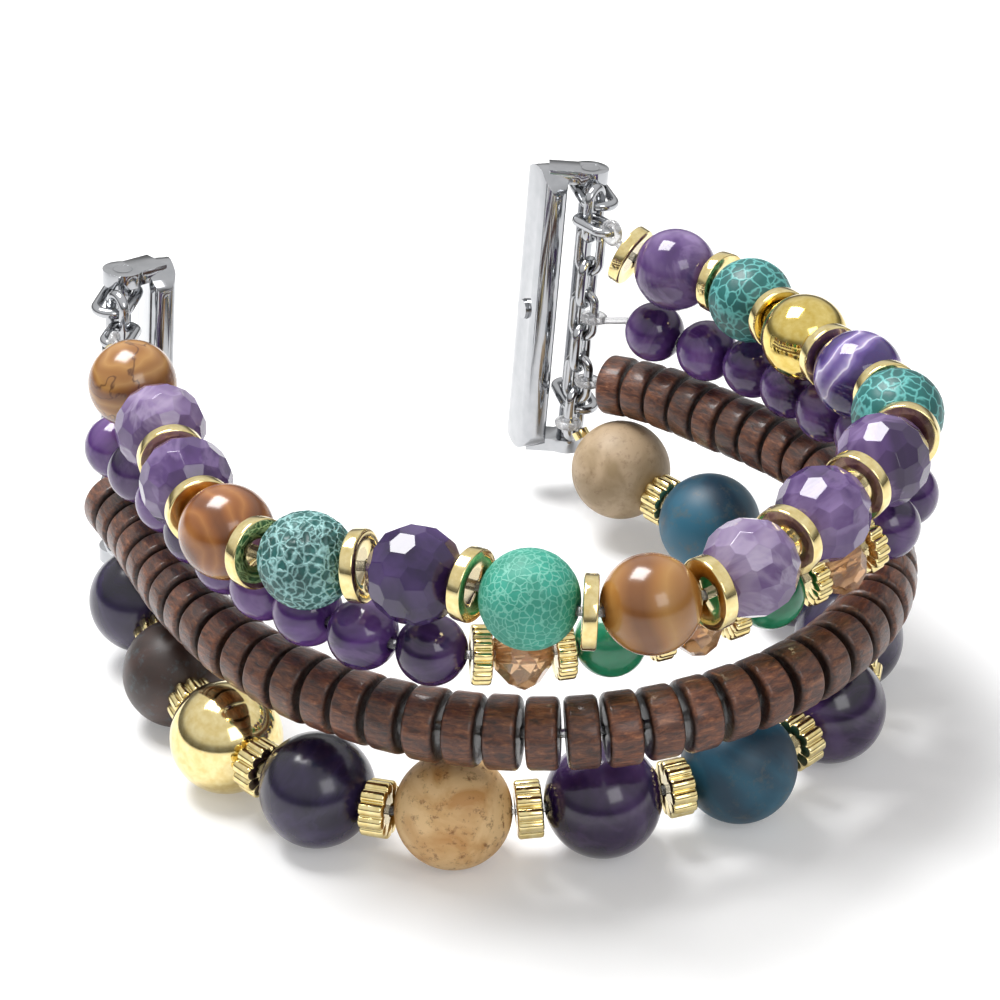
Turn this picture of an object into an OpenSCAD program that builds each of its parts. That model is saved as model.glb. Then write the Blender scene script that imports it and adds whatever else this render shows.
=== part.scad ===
// Four-strand stretch bead band for a wrist watch, lying on its side edge.
// X is to the right, Y away from the viewer, Z up; the origin is the middle of the footprint.

/* [Top strand] */
// Diameter of the large round beads
top_bead_d = 8; // [7:0.1:9]
// Diameter of the flat washers between them
washer_d = 6; // [5:0.1:7]
// Thickness of those washers
washer_t = 1.2; // [0.8:0.1:1.6]
// Radius of the washers' rounded rim
washer_edge_r = 0.35; // [0.2:0.05:0.39]

/* [Small bead strand] */
// Diameter of the small round beads
small_bead_d = 6; // [5:0.1:7]
// Diameter of the faceted crystals
crystal_d = 6; // [5:0.1:6.6]
// Length of the faceted crystals along the cord
crystal_l = 4.6; // [3.6:0.1:5.4]
// Diameter of the toothed spacers
gear_d = 5; // [4:0.1:5.6]
// Thickness of the toothed spacers
gear_t = 1.6; // [1.2:0.1:2]
// Round beads left of the crystals
small_left_count = 9; // [8:1:10]
// Round beads right of the crystals
small_right_count = 9; // [8:1:10]
// Free height between the wood discs and the small beads
small_rise = 1.9; // [1.5:0.1:3]

/* [Wood strand] */
// Diameter of the wood discs
wood_d = 6.3; // [5.4:0.1:6.8]
// Thickness of the wood discs
wood_t = 2.8; // [2.4:0.1:3.2]
// Radius of the discs' turned edges
wood_edge_r = 0.7; // [0.4:0.05:1]
// Number of wood discs
wood_count = 48; // [44:1:50]
// Free height between the bottom beads and the wood discs
wood_rise = 0.85; // [0.6:0.05:2]

/* [Bottom strand] */
// Diameter of the bottom beads, which the band stands on
bottom_bead_d = 10; // [9:0.1:11]
// Diameter of the flower spacers
flower_d = 5; // [4.2:0.1:5.8]
// Thickness of the flower spacers at their hub
flower_t = 2.2; // [1.8:0.1:2.6]
// How much thinner their scalloped rim is
flower_rim_relief = 0.4; // [0.2:0.05:0.6]

/* [Cords] */
// Diameter of the elastic cord
cord_d = 0.8; // [0.6:0.05:0.9]
// Hole through every bead, disc and spacer
bore_d = 1.2; // [1.05:0.05:1.4]
// Least gap between neighbours on the tightest cord
bead_gap = 0.16; // [0.08:0.01:0.2]
// Gap between a cord loop and the wire it goes round
loop_gap = 0.1; // [0.05:0.01:0.12]
// Outer diameter of the crimp tubes
crimp_d = 1.7; // [1.6:0.05:1.9]
// Length of the crimp tubes
crimp_l = 0.8; // [0.6:0.05:0.9]

/* [Chains] */
// Wire of the chain links
link_wire = 1; // [0.8:0.02:1.02]
// Outer width of a chain link
link_w = 3.3; // [3.25:0.01:3.6]
// Outer length of a middle link
link_l = 5.6; // [5.4:0.05:6]
// Outer length of the two end links
end_link_l = 6.2; // [6.1:0.05:6.6]
// Running gap where two links hang in each other
link_gap = 0.08; // [0.04:0.01:0.12]
// Lean of both chains as the band lies
lean = 7; // [0:0.5:8]

/* [Rings] */
// Wire of the oval rings on the lug bars
ring_wire = 1; // [0.8:0.02:1.04]
// Outer length of the oval rings
ring_l = 8; // [7.6:0.1:8.6]
// Outer width of the oval rings
ring_w = 4; // [3.9:0.05:4.3]
// Wire of the rings that carry the top cord
strand_ring_wire = 0.9; // [0.7:0.02:0.94]
// Outer length of the rings that carry the top cord
strand_ring_l = 5.6; // [5.2:0.1:6]
// Outer width of the rings that carry the top cord
strand_ring_w = 3.3; // [3.2:0.05:3.6]

/* [Lug adapters] */
// Length of the lug that slides into the watch case
lug_l = 31; // [31:0.5:34]
// Thickness of the lug
lug_t = 2.6; // [2.4:0.05:2.8]
// Depth of the lug across the case
lug_w = 6; // [5.6:0.1:6.6]
// Diameter of the bar that carries the rings
bar_d = 1.8; // [1.5:0.05:1.85]
// Bar centre, outward from the lug's centre
bar_out = 3.8; // [3.6:0.05:4.2]
// Bar centre, towards the wrist from the lug's centre
bar_down = 1.5; // [1.2:0.05:2]
// Thickness of the two horns that hold the bar
horn_t = 1.4; // [1.2:0.05:1.5]
// Diameter of a horn's eye
horn_d = 3.8; // [3.4:0.1:4.4]
// Diameter of the spring catch's nose
catch_d = 2; // [1.8:0.05:2.1]
// How far the nose stands out of the lug
catch_out = 0.6; // [0.5:0.05:0.65]

/* [Hidden] */
top_count = 16;
bottom_count = 12;
TOP_NODES = [for (i = [1 : top_count]) str("top_bead_", i)];
BOTTOM_NODES = [for (i = [1 : bottom_count]) str("bottom_bead_", i)];

// Colours
amethyst = "#5b3b82";
pale_amethyst = "#8d78a6";
jasper = "#b8672a";
agate_teal = "#1f8f86";
gold = "#d8b65a";
steel = "#c9ccd0";
walnut = "#4a2a1c";
sand_jasper = "#c39a63";
apatite = "#1c5470";
elastic = "#e8e6e0";

// Fineness of round shapes, and of the flat-sided cords
$fn = 48;
cord_sides = 8;
curve_steps = 6;
overrun = 1;

// Each strand's plan, in per cent of the ring size: X, Y and rise over the strand's level
top_route_shares = [
    [-35, 9.5, 2.5], [-30.5, 3.5, 1], [-27, -12.5, -0.5], [-20.5, -27, -0.5], [-8.5, -30, 1],
    [-1.5, -35, 1], [6, -38.5, -0.5], [17, -36, -0.5], [23, -27, 0], [33.5, -17, 1.5],
    [36.5, -6, 0.5], [29.5, 7.5, 0], [25.5, 20, 0], [21, 26, 0.5], [13.5, 28.5, 1]
];
small_route_shares = [
    [-36, 9.5, 1], [-32, 3, 1], [-26, -9, -0.5], [-17.5, -23.5, 0.5], [-7, -31.5, 0],
    [1, -30, -1], [7.5, -29.5, -1], [21, -24, -1], [30, -17, 0], [34.5, -12.5, 0],
    [37.5, -0.5, 0], [30, 9, 0], [26.5, 20.5, 0], [19, 27.5, -1], [12.5, 31.5, 1.5]
];
wood_route_shares = [
    [-37, 14, 1], [-32.5, 4.5, 0.5], [-28, -8, 0.5], [-20.5, -19, 0], [-9, -28.5, 0], [4, -32, 0],
    [16.5, -29.5, 0], [27.5, -21.5, 0], [34, -9.5, -0.5], [34.5, 2.5, -0.5], [30.5, 13.5, 1],
    [23, 22, 1], [15.5, 30.5, 1.5]
];
bottom_route_shares = [
    [-36.5, 14, 2.5], [-33.5, 8, 0], [-30, -5.5, 0], [-22.5, -21, 0], [-10.5, -28.5, 0],
    [0.5, -28.5, 0], [13, -27, 0], [24.5, -21.5, 0], [32.5, -9, 0], [31.5, 7.5, 0], [19, 20, 1],
    [11, 31, 1.5]
];
left_end_shares = [-36, 16.6];
right_end_shares = [9.4, 34.4];
per_cent = 0.01;

// Vertical places
bottom_level = bottom_bead_d / 2;
wood_level = bottom_bead_d + wood_rise + wood_d / 2;
small_level = wood_level + (wood_d + small_bead_d) / 2 + small_rise;
top_level = small_level + (small_bead_d + top_bead_d) / 2;
left_chain_lift = 4;
right_chain_lift = 5.2;
strand_middle = (top_level + bottom_level) / 2;

// Bare cord between each loop's middle and its first piece, left and right
top_bare = [3.5, 2.4];
small_bare = [4.6, 4.6];
wood_bare = [3.2, 2.3];
bottom_bare = [3, 3];

// Vectors
function unit(v) = v / norm(v);
function sum(v, i = 0) = i < len(v) ? v[i] + sum(v, i + 1) : 0;
function mix(a, b, t) = a + (b - a) * t;

// A smooth curve drawn by its points, which starts on the first and ends on the last, as a fine
// polyline with its running length
function bend(a, b, c, d, t) =
    (a * pow(1 - t, 3) + b * (3 * pow(t, 3) - 6 * pow(t, 2) + 4)
    + c * (3 * pow(t, 2) + 3 * t + 1 - 3 * pow(t, 3)) + d * pow(t, 3)) / 6;
function curve(p) = let (n = len(p)) [
    for (i = [0 : n - 2], k = [0 : curve_steps - 1])
        bend(i > 0 ? p[i - 1] : 2 * p[0] - p[1], p[i], p[i + 1],
             i < n - 2 ? p[i + 2] : 2 * p[n - 1] - p[n - 2], k / curve_steps),
    p[n - 1]
];
function running(q) = [
    for (i = 0, s = 0; i < len(q);
         s = s + (i < len(q) - 1 ? norm(q[i + 1] - q[i]) : 0), i = i + 1) s
];
function span(s, run, lo, hi) = hi - lo < 2 ? lo
    : let (m = floor((lo + hi) / 2)) run[m] <= s ? span(s, run, m, hi) : span(s, run, lo, m);
function along(q, run, s) = let (i = span(s, run, 0, len(run) - 1))
    mix(q[i], q[i + 1], (s - run[i]) / (run[i + 1] - run[i]));

// What each strand holds, from left to right: kind, length and index. The top strand's first two
// beads touch, and a washer sits before each later bead and after the last.
plain_top_count = 2;
top_row = [
    for (i = [1 : top_count], k = [0 : 1])
        if (k == 1) ["bead", top_bead_d, i] else if (i > plain_top_count) ["washer", washer_t],
    ["washer", washer_t]
];
crystal_group = [["gear", gear_t], ["crystal", crystal_l], ["gear", gear_t]];
small_row = concat(
    [for (i = [1 : small_left_count]) ["round", small_bead_d]], crystal_group,
    [["green", small_bead_d]], crystal_group, [["green", small_bead_d]], crystal_group,
    [for (i = [1 : small_right_count]) ["round", small_bead_d]]
);
wood_row = [for (i = [1 : wood_count]) ["disc", wood_t]];
bottom_row = [
    for (i = [1 : bottom_count], k = [0 : 1])
        if (k == 1) ["bead", bottom_bead_d, i] else if (i > 1) ["flower", flower_t]
];
function lengths(row) = [for (e = row) e[1]];

// The tightest strand sets the ring size, as its stretched cord does
function plan(shares) = [for (p = shares) [p[0], p[1]] * per_cent];
function plan_route(shares) =
    concat([left_end_shares * per_cent], plan(shares), [right_end_shares * per_cent]);
function share_length(shares) = let (q = curve(plan_route(shares))) sum(
    [for (i = [0 : len(q) - 2]) norm(q[i + 1] - q[i])]);
function needed(row, shares, bare, hung = 0) =
    (sum(lengths(row)) + (len(row) - 1) * bead_gap + bare[0] + bare[1] + 2 * hung)
    / share_length(shares);
side_wire = (link_w - link_wire) / 2;
loop_r = (link_wire + cord_d) / 2 + loop_gap;
strand_loop_r = (strand_ring_wire + cord_d) / 2 + loop_gap;
strand_ring_reach = strand_ring_l - link_wire / 2 - 1.5 * strand_ring_wire - loop_gap / 2;
ring_size = max(
    needed(top_row, top_route_shares, top_bare, strand_ring_reach),
    needed(small_row, small_route_shares, small_bare),
    needed(wood_row, wood_route_shares, wood_bare),
    needed(bottom_row, bottom_route_shares, bottom_bare)
);

// The two ends: leaning frames whose X axis points from the chain to the lug bar. The right one
// mirrors the left one. Links are turned by an eighth turn to either side, so that each has a wire
// on the bar's side, where an oval ring goes round it, and one on the strands' side.
link_twist = 45;
wire_place = side_wire * cos(link_twist);
link_pitch = link_l - 2 * link_wire - link_gap;
end_pitch = (link_l + end_link_l) / 2 - 2 * link_wire - link_gap;
end_link_z = 2 * link_pitch + end_pitch;
left_turn = 82;
right_turn = 102;
function end_turn(left) = left ? left_turn : right_turn;
function side(left) = left ? 1 : -1;
function end_place(left) = let (p = (left ? left_end_shares : right_end_shares) * per_cent * ring_size)
    [p[0], p[1], strand_middle + (left ? left_chain_lift : right_chain_lift)];
function leaned(p) = [
    p[0] * cos(lean) + p[2] * sin(lean), p[1], p[2] * cos(lean) - p[0] * sin(lean)
];
function unleaned(p) = [
    p[0] * cos(lean) - p[2] * sin(lean), p[1], p[2] * cos(lean) + p[0] * sin(lean)
];
function turned(p, a) = [p[0] * cos(a) - p[1] * sin(a), p[0] * sin(a) + p[1] * cos(a), p[2]];
function end_way(left, d) = leaned(turned([d[0], side(left) * d[1], d[2]], end_turn(left)));
function end_point(left, p) = end_place(left) + end_way(left, p);
function in_end(left, p) = let (q = turned(unleaned(p - end_place(left)), -end_turn(left)))
    [q[0], side(left) * q[1], q[2]];
module in_frame(left) {
    translate(end_place(left)) rotate([0, lean, 0]) rotate([0, 0, end_turn(left)])
        mirror([0, left ? 0 : 1, 0]) children();
}

// Two things hang in each end link, one beside its middle and one towards its end
end_inner_share = 0.055;
end_outer_share = 0.13;
end_inner_z = end_link_z - end_inner_share * end_link_l;
end_outer_z = end_link_z + end_outer_share * end_link_l;

// The top cord's rings point to where that strand starts
function first_point(left, shares, level) = let (
    p = left ? shares[0] : shares[len(shares) - 1],
    s = ring_size * per_cent
) [p[0] * s, p[1] * s, level + p[2] * s];
function strand_ring_turn(left) = let (
    d = in_end(left, first_point(left, top_route_shares, top_level)) + [wire_place, wire_place, 0]
) atan2(d[1], d[0]);
function strand_ring_end(left) = let (a = strand_ring_turn(left)) [
    strand_ring_reach * cos(a) - wire_place, strand_ring_reach * sin(a) - wire_place, end_inner_z
];

// Middles of the cords' loops in the end frames, and the directions they are tied square to
small_loop = [-wire_place, wire_place, 0];
wood_loop = [-wire_place, wire_place, -2 * link_pitch];
bottom_loop = [-wire_place, -wire_place, -end_outer_z];
ends = [true, false];
top_ends = [for (left = ends) end_point(left, strand_ring_end(left))];
small_ends = [for (left = ends) end_point(left, small_loop)];
wood_ends = [for (left = ends) end_point(left, wood_loop)];
bottom_ends = [for (left = ends) end_point(left, bottom_loop)];
link_way = leaned([0, 0, 1]);
link_ways = [link_way, link_way];
top_ways = [
    for (left = ends) let (a = strand_ring_turn(left)) end_way(left, [sin(a), -cos(a), 0])
];

function route(shares, level, ends) = let (s = ring_size * per_cent) concat(
    [ends[0]], [for (p = shares) [p[0] * s, p[1] * s, level + p[2] * s]], [ends[1]]
);

// Joints between pieces along a strand: the middle of every gap, from the first face to the last
function stations(row, shares, level, ends, bare) = let (
    q = curve(route(shares, level, ends)),
    run = running(q),
    total = run[len(run) - 1],
    l = lengths(row),
    gap = (total - bare[0] - bare[1] - sum(l)) / (len(row) - 1)
) [
    for (i = 0, s = bare[0] - gap / 2; i <= len(row);
         s = s + (i < len(row) ? l[i] : 0) + gap, i = i + 1) along(q, run, s)
];
top_stations = stations(top_row, top_route_shares, top_level, top_ends, top_bare);
small_stations = stations(small_row, small_route_shares, small_level, small_ends, small_bare);
wood_stations = stations(wood_row, wood_route_shares, wood_level, wood_ends, wood_bare);
bottom_stations =
    stations(bottom_row, bottom_route_shares, bottom_level, bottom_ends, bottom_bare);

// Puts a piece's own Z axis along the cord between two stations
module on_cord(a, b) {
    d = b - a;
    translate((a + b) / 2) rotate([0, acos(d[2] / norm(d)), atan2(d[1], d[0])]) children();
}
module each_of(row, places, kind) {
    for (i = [0 : len(row) - 1]) if (row[i][0] == kind) on_cord(places[i], places[i + 1]) children();
}
function index_of(row, kind, n) =
    [for (i = [0 : len(row) - 1]) if (row[i][0] == kind && row[i][2] == n) i][0];
module bore(l) {
    cylinder(d = bore_d, h = l + 2 * overrun, center = true);
}

// Beads
module round_bead(d) {
    difference() {
        sphere(d = d);
        bore(d);
    }
}
// A cut stone: rings of corners [height, radius], each turned half a step from the last
module cut_stone(rings, n, l) {
    points = [
        for (i = [0 : len(rings) - 1], k = [0 : n - 1])
            let (a = (k + (i % 2) / 2) * 360 / n)
                [rings[i][1] * cos(a), rings[i][1] * sin(a), rings[i][0]]
    ];
    last = len(rings) - 1;
    faces = concat(
        [[for (k = [n - 1 : -1 : 0]) k]],
        [
            for (i = [0 : last - 1], k = [0 : n - 1], h = [0 : 1])
                let (m = (k + 1) % n, odd = i % 2, a = i * n, b = (i + 1) * n)
                    h == 0 ? (odd == 0 ? [a + k, a + m, b + k] : [a + k, a + m, b + m])
                        : (odd == 0 ? [a + m, b + m, b + k] : [a + k, b + m, b + k])
        ],
        [[for (k = [0 : n - 1]) last * n + k]]
    );
    difference() {
        polyhedron(points = points, faces = [for (f = faces) [for (j = [len(f) - 1 : -1 : 0]) f[j]]]);
        bore(l);
    }
}
stone_latitudes = [-72, -45, -15, 15, 45, 72];
stone_sides = 10;
module faceted_bead(d) {
    cut_stone([for (a = stone_latitudes) [d / 2 * sin(a), d / 2 * cos(a)]], stone_sides, d);
}
crystal_ring_shares = [[-0.5, 0.36], [-0.26, 0.82], [0, 1], [0.26, 0.82], [0.5, 0.36]];
crystal_sides = 10;
module crystal() {
    cut_stone([for (r = crystal_ring_shares) [r[0] * crystal_l, r[1] * crystal_d / 2]],
              crystal_sides, crystal_l);
}

// Flat round pieces with a rounded edge
module rounded_disc(d, t, edge_r) {
    inner = d / 2 - edge_r;
    rotate_extrude() {
        translate([bore_d / 2, -t / 2]) square([inner - bore_d / 2, t]);
        translate([bore_d / 2, edge_r - t / 2]) square([d / 2 - bore_d / 2, t - 2 * edge_r]);
        for (s = [-1, 1]) translate([inner, s * (t / 2 - edge_r)]) circle(r = edge_r);
    }
}
// A wavy rim drawn by one formula
wave_steps = 6;
module wavy(d, lobes, wave) {
    polygon([
        for (i = [0 : lobes * wave_steps - 1])
            let (a = i * 360 / (lobes * wave_steps), r = d / 2 - wave * (1 - cos(a * lobes)) / 2)
                [r * cos(a), r * sin(a)]
    ]);
}
gear_teeth = 18;
gear_tooth_share = 0.05;
flower_lobes = 10;
flower_lobe_share = 0.09;
flower_hub_share = 0.56;
module gear_spacer() {
    difference() {
        linear_extrude(gear_t, center = true) wavy(gear_d, gear_teeth, gear_tooth_share * gear_d);
        bore(gear_t);
    }
}
module flower_spacer() {
    difference() {
        union() {
            linear_extrude(flower_t - flower_rim_relief, center = true)
                wavy(flower_d, flower_lobes, flower_lobe_share * flower_d);
            cylinder(d = flower_hub_share * flower_d, h = flower_t, center = true);
        }
        bore(flower_t);
    }
}

// Which top beads are cut stones, and each strand's colours
cut_top_beads = [2, 3, 6, 9, 10, 11];
top_colours = [
    jasper, pale_amethyst, pale_amethyst, jasper, agate_teal, amethyst, agate_teal, jasper,
    pale_amethyst, amethyst, amethyst, agate_teal, pale_amethyst, gold, agate_teal, amethyst
];
bottom_colours = [
    amethyst, walnut, gold, amethyst, sand_jasper, amethyst, apatite, amethyst, amethyst,
    amethyst, apatite, sand_jasper
];
function has(v, n) = len([for (x = v) if (x == n) x]) > 0;
module top_bead(n) {
    i = index_of(top_row, "bead", n);
    color(top_colours[n - 1]) on_cord(top_stations[i], top_stations[i + 1]) {
        if (has(cut_top_beads, n)) faceted_bead(top_bead_d);
        else round_bead(top_bead_d);
    }
}
module bottom_bead(n) {
    i = index_of(bottom_row, "bead", n);
    color(bottom_colours[n - 1]) on_cord(bottom_stations[i], bottom_stations[i + 1])
        round_bead(bottom_bead_d);
}
module gold_washers() {
    color(gold) each_of(top_row, top_stations, "washer") rounded_disc(washer_d, washer_t, washer_edge_r);
}
module small_beads() {
    color(amethyst) each_of(small_row, small_stations, "round") round_bead(small_bead_d);
}
module green_beads() {
    color("#2f8f5b") each_of(small_row, small_stations, "green") round_bead(small_bead_d);
}
module crystals() {
    color("#b98a52") each_of(small_row, small_stations, "crystal") crystal();
}
module gear_spacers() {
    color(gold) each_of(small_row, small_stations, "gear") gear_spacer();
}
module wood_discs() {
    color(walnut) each_of(wood_row, wood_stations, "disc") rounded_disc(wood_d, wood_t, wood_edge_r);
}
module flower_spacers() {
    color(gold) each_of(bottom_row, bottom_stations, "flower") flower_spacer();
}

// Cords: one flat-sided tube along the stations, tied in a loop at each end
module tube(points, d) {
    n = len(points);
    rings = [
        for (i = [0 : n - 1])
            let (
                t = unit((i < n - 1 ? unit(points[i + 1] - points[i]) : [0, 0, 0])
                    + (i > 0 ? unit(points[i] - points[i - 1]) : [0, 0, 0])),
                u = unit(cross(t, [0, 0, 1])),
                v = cross(u, t)
            )
            for (k = [0 : cord_sides - 1])
                let (a = k * 360 / cord_sides) points[i] + (u * cos(a) + v * sin(a)) * d / 2
    ];
    faces = concat(
        [[for (k = [cord_sides - 1 : -1 : 0]) k]],
        [
            for (i = [0 : n - 2], k = [0 : cord_sides - 1], h = [0 : 1])
                let (m = (k + 1) % cord_sides, a = i * cord_sides, b = a + cord_sides)
                    h == 0 ? [a + k, a + m, b + m] : [a + k, b + m, b + k]
        ],
        [[for (k = [0 : cord_sides - 1]) (n - 1) * cord_sides + k]]
    );
    polyhedron(points = rings, faces = faces);
}
module torus(r, wire) {
    rotate_extrude() translate([r, 0]) circle(d = wire);
}
// Where the straight cord meets a loop of radius r that is tied square to way
function loop_side(middle, next, r, way) = let (d = next - middle) middle + unit(d - way * (d * way)) * r;
module cord(places, middles, r, ways) {
    last = len(places) - 1;
    color(elastic) tube(
        concat([loop_side(middles[0], places[0], r, ways[0])], places,
               [loop_side(middles[1], places[last], r, ways[1])]),
        cord_d);
}
module side_loops(middle) {
    color(elastic) for (left = ends) in_frame(left) translate(middle) torus(loop_r, cord_d);
}
module top_cord() {
    cord(top_stations, top_ends, strand_loop_r, top_ways);
    color(elastic) for (left = ends) in_frame(left)
        translate(strand_ring_end(left)) rotate([90, 0, strand_ring_turn(left)])
            torus(strand_loop_r, cord_d);
}
module small_cord() {
    cord(small_stations, small_ends, loop_r, link_ways);
    side_loops(small_loop);
}
module wood_cord() {
    cord(wood_stations, wood_ends, loop_r, link_ways);
    side_loops(wood_loop);
}
module bottom_cord() {
    cord(bottom_stations, bottom_ends, loop_r, link_ways);
    side_loops(bottom_loop);
}
// A crimp tube sits on a cord beside its loop
module crimp(middle, next, r, way) {
    start = loop_side(middle, next, r, way);
    d = unit(next - start);
    a = start + d * (cord_d / 2 + loop_gap);
    on_cord(a, a + d * crimp_l) difference() {
        cylinder(d = crimp_d, h = crimp_l, center = true);
        bore(crimp_l);
    }
}
module crimps() {
    color(gold) {
        crimp(top_ends[0], top_stations[0], strand_loop_r, top_ways[0]);
        crimp(small_ends[0], small_stations[0], loop_r, link_way);
        crimp(wood_ends[0], wood_stations[0], loop_r, link_way);
        crimp(bottom_ends[0], bottom_stations[0], loop_r, link_way);
        crimp(bottom_ends[1], bottom_stations[len(bottom_stations) - 1], loop_r, link_way);
    }
}

// An oval ring of round wire, lying flat, long along X
module oval(l, w, wire) {
    r = (w - wire) / 2;
    run = l - w;
    for (s = [0, 180]) rotate([0, 0, s]) {
        translate([run / 2, 0, 0]) rotate([0, 0, -90])
            rotate_extrude(angle = 180) translate([r, 0]) circle(d = wire);
        translate([0, r, 0]) rotate([0, 90, 0]) cylinder(d = wire, h = run, center = true);
    }
}
link_places = [
    [-end_link_z, end_link_l], [-2 * link_pitch, link_l], [-link_pitch, link_l], [0, link_l],
    [link_pitch, link_l], [2 * link_pitch, link_l], [end_link_z, end_link_l]
];
module chain(left) {
    color(steel) in_frame(left) for (i = [0 : len(link_places) - 1])
        translate([0, 0, link_places[i][0]]) rotate([0, 0, (i % 2 == 0 ? 1 : -1) * link_twist])
            rotate([90, 90, 0]) oval(link_places[i][1], link_w, link_wire);
}
module strand_ring(left) {
    back = strand_ring_reach - strand_ring_l / 2 + strand_ring_wire / 2;
    color(steel) in_frame(left) translate([-wire_place, -wire_place, end_inner_z])
        rotate([0, 0, strand_ring_turn(left)]) translate([back, 0, 0])
            oval(strand_ring_l, strand_ring_w, strand_ring_wire);
}

// Oval rings go round an end link's wire and, at their far end, round the bar
near_wire = (ring_w - 2 * ring_wire - link_wire - loop_gap) / 2;
bar_x = wire_place + near_wire + ring_l - ring_w;
module ring(left, z) {
    color(steel) in_frame(left) translate([bar_x - (ring_l - ring_w) / 2, wire_place, z])
        oval(ring_l, ring_w, ring_wire);
}

// Lug frames: origin on the bar's middle, X outward from the case, Y away from the wrist
left_lug_turn = 119;
right_lug_turn = 81;
left_lug_drop = 1.5;
right_lug_drop = 1.8;
function lug_turn(left) = left ? left_lug_turn : right_lug_turn;
function bar_place(left) = [bar_x, wire_place, -(left ? left_lug_drop : right_lug_drop)];
function lug_point(left, p) = let (q = turned([p[0], -p[1], p[2]], lug_turn(left)))
    end_point(left, bar_place(left) + q);
module in_lug(left) {
    in_frame(left) translate(bar_place(left)) rotate([0, 0, lug_turn(left)])
        mirror([0, 1, 0]) children();
}
horn_z = (lug_l - horn_t) / 2;
bar_l = lug_l;
catch_flange_share = 1.4;
catch_flange_t_share = 0.2;
catch_flange_d = catch_flange_share * catch_d;
catch_flange_t = catch_flange_t_share * catch_d;
fit_gap = 0.05;
pin_gap = 0.02;
lip_share = 0.15;
pocket_floor_share = 0.2;
horn_arm_share = 0.8;
lip_t = lip_share * lug_t;
pocket_floor = pocket_floor_share * lug_t;
module lug_outline() {
    for (y = [-1, 1]) translate([0, y * (lug_w / 2 - lug_t / 2)]) circle(d = lug_t);
    square([lug_t, lug_w - lug_t], center = true);
}
module lug_side() {
    r = lug_w / 2;
    square([lug_w, lug_l - lug_w], center = true);
    for (s = [-1, 1]) translate([0, s * (lug_l / 2 - r)]) circle(r = r);
}
module lug(left) {
    color(steel) in_lug(left) difference() {
        union() {
            translate([-bar_out, bar_down, 0]) intersection() {
                linear_extrude(lug_l, center = true) lug_outline();
                rotate([90, 0, 90]) linear_extrude(lug_t + 2 * overrun, center = true) lug_side();
            }
            for (s = [-1, 1]) translate([0, 0, s * horn_z]) {
                cylinder(d = horn_d, h = horn_t, center = true);
                rotate([0, 0, atan2(bar_down, -bar_out)])
                    translate([norm([bar_out, bar_down]) / 2, 0, 0])
                        cube([norm([bar_out, bar_down]), horn_arm_share * horn_d, horn_t], center = true);
            }
        }
        cylinder(d = bar_d + 2 * pin_gap, h = bar_l + 2 * overrun, center = true);
        translate([-bar_out, bar_down, 0]) rotate([0, -90, 0]) {
            translate([0, 0, -lug_t / 2 + pocket_floor])
                cylinder(d = catch_flange_d + 2 * fit_gap, h = lug_t - pocket_floor - lip_t);
            cylinder(d = catch_d + 2 * fit_gap, h = lug_t);
        }
    }
}
module bar(left) {
    color(steel) in_lug(left) cylinder(d = bar_d, h = bar_l, center = true);
}
module catch(left) {
    flange_top = lug_t / 2 - lip_t - fit_gap / 2;
    color(steel) in_lug(left) translate([-bar_out, bar_down, 0]) rotate([0, -90, 0]) {
        translate([0, 0, flange_top - catch_flange_t]) cylinder(d = catch_flange_d, h = catch_flange_t);
        translate([0, 0, flange_top - catch_flange_t / 2])
            cylinder(d = catch_d, h = lug_t / 2 + catch_out - flange_top);
    }
}
spring_turns = 2.5;
spring_steps = 8;
spring_sides = 6;
spring_wire_share = 0.08;
module catch_spring(left) {
    wire = spring_wire_share * catch_d;
    r = (catch_flange_d - 2 * wire) / 2;
    low = -lug_t / 2 + pocket_floor + wire / 2 + pin_gap;
    high = lug_t / 2 - lip_t - fit_gap / 2 - catch_flange_t - wire / 2 - pin_gap;
    n = spring_turns * spring_steps;
    rings = [
        for (i = [0 : n]) let (a = i * 360 / spring_steps, z = mix(low, high, i / n))
            for (k = [0 : spring_sides - 1]) let (b = k * 360 / spring_sides)
                [(r + wire / 2 * cos(b)) * cos(a), (r + wire / 2 * cos(b)) * sin(a), z + wire / 2 * sin(b)]
    ];
    faces = concat(
        [[for (k = [0 : spring_sides - 1]) k]],
        [
            for (i = [0 : n - 1], k = [0 : spring_sides - 1], h = [0 : 1])
                let (m = (k + 1) % spring_sides, p = i * spring_sides, q = p + spring_sides)
                    h == 0 ? [p + k, q + m, p + m] : [p + k, q + k, q + m]
        ],
        [[for (k = [spring_sides - 1 : -1 : 0]) n * spring_sides + k]]
    );
    color(steel) in_lug(left) translate([-bar_out, bar_down, 0]) rotate([0, -90, 0])
        polyhedron(points = rings, faces = faces);
}

// The footprint's middle: outermost wood disc or horn, small bead, top bead and lug edge
function middles(row, places, kind, axis) =
    [for (i = [0 : len(row) - 1]) if (row[i][0] == kind) (places[i] + places[i + 1])[axis] / 2];
wood_edge = min(middles(wood_row, wood_stations, "disc", 0)) - wood_d / 2;
left_horn_edge = lug_point(true, [0, 0, -lug_l / 2])[0] - horn_d / 2 * cos(lean);
small_edge = max(middles(small_row, small_stations, "round", 0)) + small_bead_d / 2;
top_edge = min(middles(top_row, top_stations, "bead", 1)) - top_bead_d / 2;
right_lug_edge = lug_t / 2 + max([
    for (y = [-1, 1]) lug_point(false, [-bar_out, bar_down + y * (lug_w - lug_t) / 2, 0])[1]
]);
footprint_middle = [min(wood_edge, left_horn_edge) + small_edge, top_edge + right_lug_edge] / 2;
module placed() {
    translate([-footprint_middle[0], -footprint_middle[1], 0]) children();
}
for (i = [1 : top_count]) placed() top_bead(i);
for (i = [1 : bottom_count]) placed() bottom_bead(i);
placed() gold_washers();
placed() small_beads();
placed() green_beads();
placed() crystals();
placed() gear_spacers();
placed() wood_discs();
placed() flower_spacers();
placed() crimps();
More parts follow.
